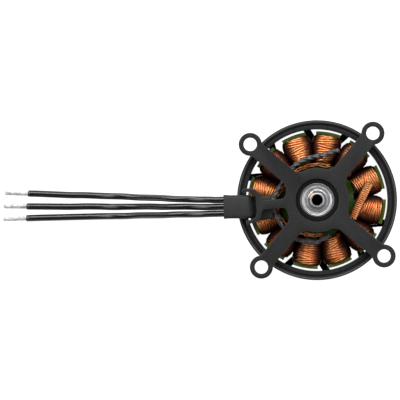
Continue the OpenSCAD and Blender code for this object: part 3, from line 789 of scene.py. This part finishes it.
def slot_strands(rng, way):
    """Strands that leave a crown at the hub end and go down into the slot beside it. way is 1 or -1."""
    parts = []
    for k in range(4):
        out = 0.36 * k + rng.uniform(-0.08, 0.08)
        route = [(8.5 + out, 0.3 * way, 10.85), (8.3 + 0.9 * out, 0.95 * way, 10.75),
                 (8.0 + 0.7 * out, 1.55 * way, 10.35), (7.8 + 0.5 * out, 1.95 * way, 9.7),
                 (7.7 + 0.4 * out, 2.0 * way, 8.9)]
        parts.append(sweep(smooth_route(route, 5), circle(0.17, 8)))
    return parts


def winding_heart():
    """Closed body under the turns of a winding, painted dark as the shade between and under them."""
    power, sides = 0.75, 40
    t = np.linspace(0, 2 * math.pi, sides, endpoint=False)
    across, high = squared(np.cos(t), power), squared(np.sin(t), power)
    return skin(np.array([np.stack([np.full(sides, r), half_w * across, COIL_MID_Z + half_h * high], axis=-1)
                          for r, half_w, half_h in HEART]))


def winding(number):
    """The turns of one coil round the tooth along +X: a heart painted dark as shade, a full layer and bands
    over its crown.
    """
    # The second finish is the painted shade of the heart.
    copper, dark = 0, 1
    half_pitch, upper_inset, lower_by = 0.22, 0.22, 0.07
    rng = random.Random(100 + number)
    lean = rng.choice((-1, 1))
    strands = [winding_layer(rng, lean)]
    edge, lower = BANDS_R[0], False
    while edge < BANDS_R[1]:
        count = rng.choice((3, 4, 5))
        slant = lean * (1 if lower else -1) * rng.uniform(0.3, 1.25)
        inset = upper_inset + lower_by * lower
        strands += winding_band(rng, edge + half_pitch * (count - 1), count, slant, inset)
        edge += BAND_PITCH * count - BAND_OVERLAP
        lower = not lower
    if number % 2:
        strands += slot_strands(rng, lean)
    return [(*winding_heart(), dark)] + [(*strand, copper) for strand in strands]


def add_windings():
    """Every coil's turns, on their own tooth."""
    for k, angle in enumerate(TOOTH_ANGLES):
        parts = [(*spun(part[:2], angle), part[2]) for part in winding(k)]
        add_piece(f"winding_{k + 1:02d}", parts, [COPPER, COPPER_PAINTED_SHADE], "stator", "copper_wire",
                  [f"coil_{k + 1:02d}"])


# Mount, stator and rotor

def refinish(node, material):
    """Gives a CAD node that keeps its own shape a better material."""
    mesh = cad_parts[node].data
    mesh.materials.clear()
    mesh.materials.append(material)


def add_turned(name, profile, material, body, slot, replaced, r=0.08, **turning):
    """A piece turned from a (radius, z) profile whose corners are rounded by r."""
    return add_piece(name, [turned_part(rounded(profile, r), **turning)], [material], body, slot, [replaced])


def add_mount_and_stator():
    """Mount plate, bearing tube, green end insulators and laminations."""
    bevelled_copy("mount_plate", "mount_plate_milled", [BLACK, BLACK_HIGHLIGHT_EDGE], "stator", "black_anodised", 0.05)
    bevelled_copy("rear_insulator", "rear_insulator_coated", [GREEN], "stator", "insulation", 0.04)
    refinish("front_insulator", GREEN)
    refinish("stator_core", LAMINATION)
    refinish("solder_joints", TINNED)
    low, high = TUBE_Z
    shoulder_r, front_seat, rear_seat = 3.1, 6.4, 11.4
    profile = [(BEARING_R, low), (TUBE_R, low), (TUBE_R, high), (BEARING_R, high), (BEARING_R, rear_seat),
               (shoulder_r, rear_seat), (shoulder_r, front_seat), (BEARING_R, front_seat)]
    add_turned("bearing_tube_turned", profile, TUBE_PAINTED_SHADE, "stator", "black_anodised", "bearing_tube")


def add_flux_ring():
    """Steel ring. Its rear face is a flat step inside a narrow raised rim."""
    inner_r, (low, top) = MAGNET_R[1], RING_Z
    step = top - 0.08
    profile = [(inner_r, low), (RING_R, low), (RING_R, top - 0.15), (RING_R - 0.05, step),
               (RING_R - 0.19, top - 0.06), (RING_R - 0.23, top), (RING_R - 0.31, top), (RING_R - 0.37, step),
               (inner_r + 0.16, step), (inner_r + 0.1, top - 0.2), (inner_r, top - 0.2)]
    corners = [0.05, 0.12, 0.03, 0.03, 0.03, 0.02, 0.02, 0.03, 0.03, 0.03, 0.02]
    add_turned("flux_ring_turned", profile, RING_STEEL, "rotor", "flux_ring_steel", "flux_ring", r=corners,
               steps=240)


def add_magnets():
    """A ring of magnets with narrow gaps between them."""
    span, gap = 360 / MAGNET_COUNT, 0.3
    (inner_r, outer_r), (low, high) = MAGNET_R, cad_heights("magnet_01")
    profile = [(inner_r, low), (outer_r, low), (outer_r, high), (inner_r, high)]
    for k in range(MAGNET_COUNT):
        add_turned(f"magnet_{k + 1:02d}_coated", profile, MAGNET, "rotor", "magnet", f"magnet_{k + 1:02d}",
                   r=0.1, steps=20, start=span * k + gap / 2, turn=span - gap)


def add_shaft():
    """Ground shaft with a groove for its clip and a blind bore from the rear."""
    groove_r, groove_low, groove_high = 1.35, 14.58, 15.02
    profile = [(0, 0), (SHAFT_R, 0), (SHAFT_R, groove_low), (groove_r, groove_low), (groove_r, groove_high),
               (SHAFT_R, groove_high), (SHAFT_R, SHAFT_TOP), (BORE_R, SHAFT_TOP), (BORE_R, BORE_END),
               (0, BORE_END - 0.2)]
    corners = [0.001, 0.1, 0.02, 0.02, 0.02, 0.02, 0.1, 0.06, 0.05, 0.001]
    add_turned("shaft_ground", profile, SHAFT_STEEL, "rotor", "shaft_steel", "shaft", r=corners, steps=96)


def add_shaft_clip():
    """Open retaining clip in the shaft's groove, and the shim under it."""
    (inner_r, outer_r), (low, high) = RETAINER_R, cad_heights("retaining_clip")
    profile = [(inner_r, low), (outer_r, low), (outer_r, high), (inner_r, high)]
    add_turned("retaining_clip_sprung", profile, SPRING_STEEL, "rotor", "spring_steel", "retaining_clip",
               r=0.1, steps=72, start=RETAINER_ANGLE + RETAINER_GAP / 2, turn=360 - RETAINER_GAP)
    shim_r, (low, high) = cad_radius("shim_washer"), cad_heights("shim_washer")
    profile = [(SHAFT_R, low), (shim_r, low), (shim_r, high), (SHAFT_R, high)]
    add_turned("shim_washer_stamped", profile, BRASS, "rotor", "brass", "shim_washer", r=0.04, steps=96)


def add_rotor():
    """Bell, flux ring, magnets, and the shaft with its clip."""
    bevelled_copy("bell", "bell_cast", [BLACK, BLACK_HIGHLIGHT_EDGE], "rotor", "black_anodised", 0.08)
    add_flux_ring()
    add_magnets()
    add_shaft()
    add_shaft_clip()


def bearing_shield(middle, flip):
    """A pressed shield and the snap wire that holds it, on one side of a bearing's middle."""
    wire_r, wire_at, wire_height, wire_start, wire_turn = 0.07, 2.88, 1.43, 20, 318
    face = [(2.1, 1.28), (2.2, 1.3), (2.62, 1.3), (2.72, 1.38), (2.95, 1.38), (2.95, 1.42), (2.7, 1.42),
            (2.6, 1.36), (2.2, 1.36), (2.1, 1.34)]
    plate = [(r, middle + flip * h) for r, h in face]
    wire = circle(wire_r) + [wire_at, middle + flip * wire_height]
    return [turned_part(rounded(plate[::flip], 0.02, 1), 128), turned_part(wire, 128, wire_start, wire_turn)]


def add_bearing(where):
    """One shielded ball bearing. Its races have a shallow groove for the balls."""
    low, high = cad_heights(f"{where}_bearing_outer_race")
    middle, half_groove, groove = (low + high) / 2, 0.45, 0.07
    outer = [(OUTER_RACE_R, low + 0.02), (BEARING_R, low), (BEARING_R, high), (OUTER_RACE_R, high),
             (OUTER_RACE_R, middle + half_groove), (OUTER_RACE_R + groove, middle),
             (OUTER_RACE_R, middle - half_groove)]
    inner = [(SHAFT_R, low), (INNER_RACE_R, low), (INNER_RACE_R, middle - half_groove),
             (INNER_RACE_R - groove, middle), (INNER_RACE_R, middle + half_groove), (INNER_RACE_R, high),
             (SHAFT_R, high)]
    add_turned(f"{where}_outer_race", outer, BEARING_STEEL, "stator", "bearing_steel",
               f"{where}_bearing_outer_race", r=0.1, steps=128)
    add_turned(f"{where}_inner_race", inner, BEARING_STEEL, "rotor", "bearing_steel",
               f"{where}_bearing_inner_race", r=0.1, steps=128)
    add_piece(f"{where}_shields", bearing_shield(middle, 1) + bearing_shield(middle, -1), [SHIELD],
              "stator", "bearing_shield", [f"{where}_bearing_shields"])
    refinish(f"{where}_bearing_balls", BEARING_STEEL)
    refinish(f"{where}_bearing_cage", BRASS)


# Floor and light

# Each soft box has a name, a tilt from the vertical and a heading anticlockwise from the view's top, both
# in degrees, a (width, height) in metres and a power in watts.
SOFTBOXES = [("key", 33, 0, (0.9, 0.36), 2.9), ("left", 32, 90, (0.5, 0.3), 1.3),
             ("right", 32, -90, (0.5, 0.3), 1.3), ("strip", 47, 0, (1.1, 0.1), 3.8),
             ("corner", 74, 48, (0.7, 0.12), 2.4), ("fill", 60, 180, (0.9, 0.12), 0.4)]
LIGHT_DISTANCE = 0.7
LIT_POINT = Vector((-0.015, 0, 0.01))

# The floor lies just under the hub's face, so that the two don't share a plane.
FLOOR_HALF_WIDTH = 6
FLOOR_Z = -0.0001


def add_softbox(name, tilt, heading, size, power):
    """Area light that faces the motor."""
    data = bpy.data.lights.new(name, "AREA")
    data.shape = "RECTANGLE"
    data.size, data.size_y = size
    data.energy = power
    light = bpy.data.objects.new(name, data)
    tilt, turn = math.radians(tilt), math.radians(heading + VIEW_TURN)
    away = Vector((-math.sin(turn) * math.sin(tilt), math.cos(turn) * math.sin(tilt), math.cos(tilt)))
    light.location = LIT_POINT + away * LIGHT_DISTANCE
    light.rotation_mode = "QUATERNION"
    light.rotation_quaternion = away.to_track_quat("Z", "Y")
    bpy.context.scene.collection.objects.link(light)


def add_floor():
    """Plain white floor that glows, like a light table."""
    s = Surface("floor", Roughness=0.9, Emission_Color=(1, 1, 1, 1), Emission_Strength=1.0)
    s.color(s.mix(s.noise(3, 2.0), (0.2, 0.2, 0.2), (0.22, 0.22, 0.22)))
    mesh = bpy.data.meshes.new("floor")
    corners = [(x * FLOOR_HALF_WIDTH, y * FLOOR_HALF_WIDTH, FLOOR_Z)
               for x, y in ((-1, -1), (1, -1), (1, 1), (-1, 1))]
    mesh.from_pydata(corners, [], [(0, 1, 2, 3)])
    mesh.materials.append(s.material)
    floor = bpy.data.objects.new("floor", mesh)
    bpy.context.scene.collection.objects.link(floor)
    floor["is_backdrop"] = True


def add_studio():
    """Faint even light all round, and soft boxes round the motor."""
    world = bpy.data.worlds.new("studio")
    world.use_nodes = True
    world.node_tree.nodes["Background"].inputs["Color"].default_value = (0.07, 0.07, 0.072, 1)
    bpy.context.scene.world = world
    for softbox in SOFTBOXES:
        add_softbox(*softbox)


def write_sizes():
    """Builds the CAD model's box and the visual model's side by side, and keeps neither."""
    boxes = {"cad": CAD_BOX, "visual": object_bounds()}
    {name: [list(corner) for corner in box] for name, box in boxes.items()}


bpy.context.scene.view_settings.view_transform = "Standard"
add_camera()
leads = list(add_leads())
sleeve = add_cable_sleeve()
add_mount_and_stator()
add_windings()
add_jumpers()
add_phase_sleeves()
add_rotor()
add_bearing("rear")
add_bearing("front")
add_floor()
add_studio()
write_sizes()
